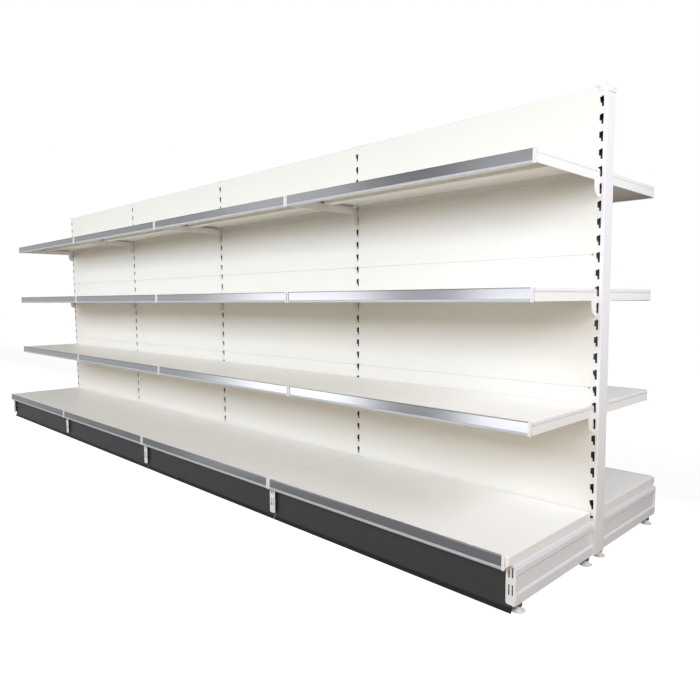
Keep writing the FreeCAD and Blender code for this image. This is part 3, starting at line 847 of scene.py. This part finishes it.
@dataclass
class CapSet:
    """Moulded caps on the posts."""

    card: FinishCard
    run: Run
    plate: float = 0.0020
    wall: float = 0.0015
    skirt_inset: float = 0.0057
    tongue_half: float = 0.0080
    soft: float = 0.0006

    def build(self) -> None:
        """Model one cap on each post."""
        low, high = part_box("upright_caps")
        half_x = self.run.first_post - low.x
        plate_low = high.z - self.plate
        for number, post in enumerate(self.run.posts(), start=1):
            shape = Workbench.block((post - half_x, low.y, plate_low),
                                    (post + half_x, high.y, high.z),
                                    self.soft)
            for x in (post - half_x, post + half_x - self.wall):
                skirt = Workbench.block((x, low.y + self.skirt_inset, low.z),
                                        (x + self.wall, high.y - self.skirt_inset, plate_low + self.soft),
                                        self.soft / 2)
                Workbench.add(shape, skirt)
            for y in (low.y, high.y - self.wall):
                tongue = Workbench.block((post - self.tongue_half, y, low.z),
                                         (post + self.tongue_half, y + self.wall, plate_low + self.soft),
                                         self.soft / 2)
                Workbench.add(shape, tongue)
            Workbench.hand_over(shape, f"post_cap_{number}", (self.card.cap,), "frame", "upright_caps")


@dataclass
class FootSet:
    """Levelling feet: threaded stems in round pads.

    pad_round_middle is a share of pad_round, and thread_flank one of thread_pitch.
    """

    card: FinishCard
    run: Run
    end_shift: float = 0.005
    rear_foot: float = 0.048
    pad_round: float = 0.0012
    pad_round_middle: float = 0.3
    pad_shoulder: float = 0.0095
    pad_neck: float = 0.0085
    pad_rim: float = 0.003
    pad_cone: float = 0.010
    pad_facets: int = 48
    socket_depth: float = 0.004
    stem_radius: float = 0.005
    stem_facets: int = 24
    thread_pitch: float = 0.0015
    thread_depth: float = 0.0008
    thread_sunk: float = 0.0003
    thread_flank: float = 0.46
    thread_facets: int = 20
    hex_low: float = 0.015
    hex_high: float = 0.023
    hex_across: float = 0.017
    hex_soft: float = 0.0006

    def build(self) -> None:
        """Model one pad and one stem, and set copies under every leg."""
        low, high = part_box("foot_pads")
        radius = self.run.first_post + self.end_shift - low.x
        stem_low, stem_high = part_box("foot_stems")
        parts = (
            (self.pad(radius, high.z), self.card.pad, "foot_pad"),
            (self.stem(stem_low.z, stem_high.z), self.card.zinc, "foot_stem"),
        )
        toe = high.y - radius
        rows = {
            "front_toe": -toe, "front_heel": -self.rear_foot,
            "back_heel": self.rear_foot, "back_toe": toe,
        }
        for number, x in enumerate(self.leg_places(), start=1):
            for row, y in rows.items():
                for part, finish, kind in parts:
                    copy = part.copy()
                    bmesh.ops.translate(copy, vec=(x, y, 0), verts=copy.verts[:])
                    name = f"{kind}_{row}_{number}"
                    Workbench.hand_over(copy, name, (finish,), "levelling_feet", f"{kind}s")
        for part, _, _ in parts:
            part.free()

    def leg_places(self) -> list[float]:
        """Find the legs, of which those at the run's ends stand in from their posts.

        Returns:
            X of every leg.
        """
        places = self.run.posts()
        places[0] += self.end_shift
        places[-1] -= self.end_shift
        return places

    def pad(self, radius: float, top: float) -> bmesh.types.BMesh:
        """Round pad with a soft rim and a coned socket.

        Args:
            radius: outer radius of the pad.
            top: height of its neck above the floor.

        Returns:
            Closed shape of the pad about Z.
        """
        soft = self.pad_round
        middle = self.pad_round_middle * soft
        socket_floor = top - self.socket_depth
        section = [
            (0, 0), (radius - soft, 0), (radius - middle, middle), (radius, soft),
            (radius, self.pad_rim - soft), (radius - middle, self.pad_rim - middle),
            (radius - soft, self.pad_rim), (self.pad_shoulder + soft, self.pad_rim + 2 * soft),
            (self.pad_shoulder, self.pad_cone), (self.pad_neck, top),
            (self.stem_radius, top), (self.stem_radius, socket_floor), (0, socket_floor),
        ]
        return Workbench.turned(section, self.pad_facets)

    def stem(self, low: float, high: float) -> bmesh.types.BMesh:
        """Stem with a rolled thread and a spanner hexagon.

        Args:
            low: height of the stem's lower end.
            high: height of its upper end.

        Returns:
            Closed shapes of core, thread and hexagon about Z.
        """
        core = self.stem_radius - self.thread_depth
        chamfer = self.thread_depth
        section = [(0, low), (core, low), (core, high - chamfer), (core - chamfer, high), (0, high)]
        shape = Workbench.turned(section, self.stem_facets)
        Workbench.add(shape, self.thread(high - 2 * chamfer))
        corner = self.hex_across / math.sqrt(3)
        hexagon = bmesh.new()
        bmesh.ops.create_cone(hexagon, cap_ends=True, segments=6, radius1=corner, radius2=corner,
                              depth=self.hex_high - self.hex_low)
        bmesh.ops.translate(hexagon, vec=(0, 0, (self.hex_low + self.hex_high) / 2), verts=hexagon.verts[:])
        rims = [edge for edge in hexagon.edges if abs(edge.verts[0].co.z - edge.verts[1].co.z) < SAME_PLACE]
        bmesh.ops.bevel(hexagon, geom=rims, offset=self.hex_soft, affect="EDGES", segments=2, profile=0.5,
                        material=-1)
        Workbench.add(shape, hexagon)
        return shape

    def thread(self, top: float) -> bmesh.types.BMesh:
        """Helical ridge from the hexagon up, sunk a little into the stem's core.

        Args:
            top: height that the ridge stays below.

        Returns:
            Closed shape of the ridge about Z.
        """
        turns = int((top - self.hex_high) / self.thread_pitch)
        root = self.stem_radius - self.thread_depth - self.thread_sunk
        flank = self.thread_pitch * self.thread_flank
        shape = bmesh.new()
        points = ((root, -flank), (self.stem_radius, 0.0), (root, flank))
        verts = [shape.verts.new((radius, 0, self.hex_high + flank + rise)) for radius, rise in points]
        edges = [shape.edges.new((verts[n], verts[(n + 1) % 3])) for n in range(3)]
        steps = self.thread_facets * turns
        bmesh.ops.spin(shape, geom=verts + edges, cent=(0, 0, 0), axis=(0, 0, 1), angle=math.tau * turns,
                       dvec=(0, 0, self.thread_pitch * turns / steps), steps=steps, use_merge=False)
        bmesh.ops.holes_fill(shape, edges=[edge for edge in shape.edges if edge.is_boundary], sides=3)
        bmesh.ops.recalc_face_normals(shape, faces=shape.faces[:])
        return shape


@dataclass(frozen=True)
class Softbox:
    """Rectangular studio light aimed at a point, and kept out of reflections."""

    name: str
    place: Triple
    target: Triple
    size: Span
    power: float
    colour: Colour

    def build(self) -> None:
        """Hang the light in the studio."""
        light = bpy.data.lights.new(self.name, "AREA")
        light.shape = "RECTANGLE"
        light.size, light.size_y = self.size
        light.energy = self.power
        light.color = self.colour
        lamp = bpy.data.objects.new(self.name, light)
        aim = Vector(self.target) - Vector(self.place)
        lamp.matrix_world = Matrix.Translation(self.place) @ aim.to_track_quat("-Z", "Y").to_matrix().to_4x4()
        lamp.visible_glossy = False
        lamp.visible_camera = False
        bpy.context.scene.collection.objects.link(lamp)


@dataclass(frozen=True)
class RoomLight:
    """Soft light that one side of the room sends."""

    axis: Triple
    colour: Colour


@dataclass(frozen=True)
class GreyRoom:
    """Room that the run mirrors: grey, lighter at the horizon, with bright fields.

    Fields are spans of a direction's X, and the other spans are of its Z.
    """

    colour: Colour = (0.98, 0.99, 1.0)
    fields: tuple[Span, ...] = ((-0.825, -0.685), (-0.562, 0.40))
    soft: float = 0.036
    field_light: float = 1.35
    far_light: float = 0.215
    horizon_light: float = 0.30
    above_horizon: Span = (0.05, 0.30)
    below_horizon: Span = (0.03, 0.21)
    field_rise: Span = (-0.245, -0.13)
    field_fall: Span = (-0.02, 0.16)
    field_above: float = 0.2

    def brightness(self, graph: ShaderGraph, direction: Signal) -> Signal:
        """Light that comes from a direction.

        Args:
            graph: world being built.
            direction: unit vector into the room.

        Returns:
            Strength of the light.
        """
        along, _, up = graph.axes(direction)
        away = graph.step(up, *self.above_horizon) + graph.step(-1 * up, *self.below_horizon)
        light = self.far_light + self.horizon_light * (1 - away)
        falling = 1 - (1 - self.field_above) * graph.step(up, *self.field_fall)
        height = graph.step(up, *self.field_rise) * falling
        for low, high in self.fields:
            past_low = graph.step(along, low - self.soft, low + self.soft)
            past_high = graph.step(along, high - self.soft, high + self.soft)
            light = light + self.field_light * height * past_low * (1 - past_high)
        return light


@dataclass
class Studio:
    """White floor and backdrop, softboxes and room light around the run."""

    floor_size: float = 60.0
    floor_colour: Colour = (0.54, 0.46, 0.33)
    floor_behind: Colour = (0.05, 0.05, 0.05)
    floor_change: Span = (0.3, 0.9)
    floor_glow: Span = (0.93, 1.0)
    glow_change: Span = (0.6, 2.5)
    backdrop: Colour = (1.0, 1.0, 1.0)
    mirrored: GreyRoom = GreyRoom()
    room: tuple[RoomLight, ...] = (
        RoomLight((0.0, -1.0, 0.0), (0.63, 0.48, 0.26)),
        RoomLight((0.0, 0.0, 1.0), (0.21, 0.21, 0.21)),
    )
    lights: tuple[Softbox, ...] = (
        Softbox("front_bank", (-0.6, -2.7, 1.63), (-0.6, 0.0, 1.0), (9.5, 0.85), 137.0, (0.78, 0.866, 1.0)),
        Softbox("end_bank", (3.5, -0.3, 1.7), (2.0, -0.1, 0.9), (1.0, 0.8), 29.5, (0.86, 0.88, 0.99)),
        Softbox("back_bank", (-1.2, 3.0, 1.9), (-1.2, 0.0, 0.8), (6.0, 0.85), 68.0, (0.94, 0.96, 1.0)),
    )

    def build(self) -> None:
        """Set up floor, surround, lights and tone."""
        self.lay_floor()
        self.paint_world()
        for light in self.lights:
            light.build()
        view = bpy.context.scene.view_settings
        view.view_transform = "Standard"
        view.look = "None"

    def lay_floor(self) -> None:
        """Lay the white floor, which sends little light up behind the run and isn't mirrored."""
        shape = bmesh.new()
        bmesh.ops.create_grid(shape, x_segments=1, y_segments=1, size=self.floor_size / 2)
        mesh = bpy.data.meshes.new("studio_floor")
        shape.to_mesh(mesh)
        shape.free()
        material = bpy.data.materials.new("studio_floor")
        material.use_nodes = True
        graph = ShaderGraph(material.node_tree)
        seen = graph.node("ShaderNodeLightPath", output="Is Camera Ray")
        across = graph.axes(graph.place())[1]
        behind = graph.step(across, *self.floor_change)
        paint = graph.blended(behind, self.floor_colour, self.floor_behind)
        matte = graph.node("ShaderNodeBsdfDiffuse", inputs={"Color": paint})
        near, far = self.floor_glow
        white = near + (far - near) * graph.step(abs(across), *self.glow_change)
        glow = graph.node("ShaderNodeEmission", inputs={"Strength": seen * white})
        both = graph.node("ShaderNodeAddShader", inputs={0: matte, 1: glow})
        graph.node("ShaderNodeOutputMaterial", inputs={"Surface": both})
        mesh.materials.append(material)
        floor = bpy.data.objects.new("studio_floor", mesh)
        floor.visible_glossy = False
        bpy.context.scene.collection.objects.link(floor)

    def paint_world(self) -> None:
        """Set the white backdrop, soft light from the room's sides, and the grey room for reflections."""
        world = bpy.data.worlds.new("studio_surround")
        world.use_nodes = True
        bpy.context.scene.world = world
        graph = ShaderGraph(world.node_tree)
        seen = graph.node("ShaderNodeLightPath", output="Is Camera Ray")
        reflected = Signal(graph, seen.socket.node.outputs["Is Glossy Ray"])
        direction = graph.node("ShaderNodeTexCoord", output="Generated")
        sides = [graph.shaded(side.colour, graph.facing(direction, side.axis)) for side in self.room]
        colour = sides[0]
        for side in sides[1:]:
            colour = graph.total(colour, side)
        grey = graph.shaded(self.mirrored.colour, self.mirrored.brightness(graph, direction))
        colour = graph.blended(reflected, colour, grey)
        colour = graph.blended(seen, colour, self.backdrop)
        background = graph.node("ShaderNodeBackground", inputs={"Color": colour})
        graph.node("ShaderNodeOutputWorld", inputs={"Surface": background})


@dataclass
class PhotoCamera:
    """Camera at the photograph's viewpoint."""

    place: Triple = (2.7992, -1.8543, 0.8160)
    yaw: float = math.radians(45.344)
    pitch: float = math.radians(4.670)
    roll: float = math.radians(0.340)
    focal_length: float = 31.852
    sensor: float = 36.0
    farthest: float = 200.0

    def build(self) -> None:
        """Place the camera and make it the scene's."""
        data = bpy.data.cameras.new("photo_camera")
        data.lens = self.focal_length
        data.sensor_width = self.sensor
        data.clip_end = self.farthest
        camera = bpy.data.objects.new("photo_camera", data)
        turn = (
            Matrix.Rotation(self.yaw, 4, "Z")
            @ Matrix.Rotation(math.pi / 2 - self.pitch, 4, "X")
            @ Matrix.Rotation(-self.roll, 4, "Z")
        )
        camera.matrix_world = Matrix.Translation(self.place) @ turn
        bpy.context.scene.collection.objects.link(camera)
        bpy.context.scene.camera = camera


def main() -> None:
    """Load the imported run, dress it, build its trim and set up the studio."""
    logging.basicConfig(level=logging.INFO, format="%(name)s: %(message)s")
    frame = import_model()
    PhotoCamera().build()
    Studio().build()
    card = FinishCard()
    run = Run.measured()
    SteelWork(card).dress(frame["nodes"])
    StripSet(card, run).build()
    CapSet(card, run).build()
    FootSet(card, run).build()


if __name__ == "__main__":
    main()
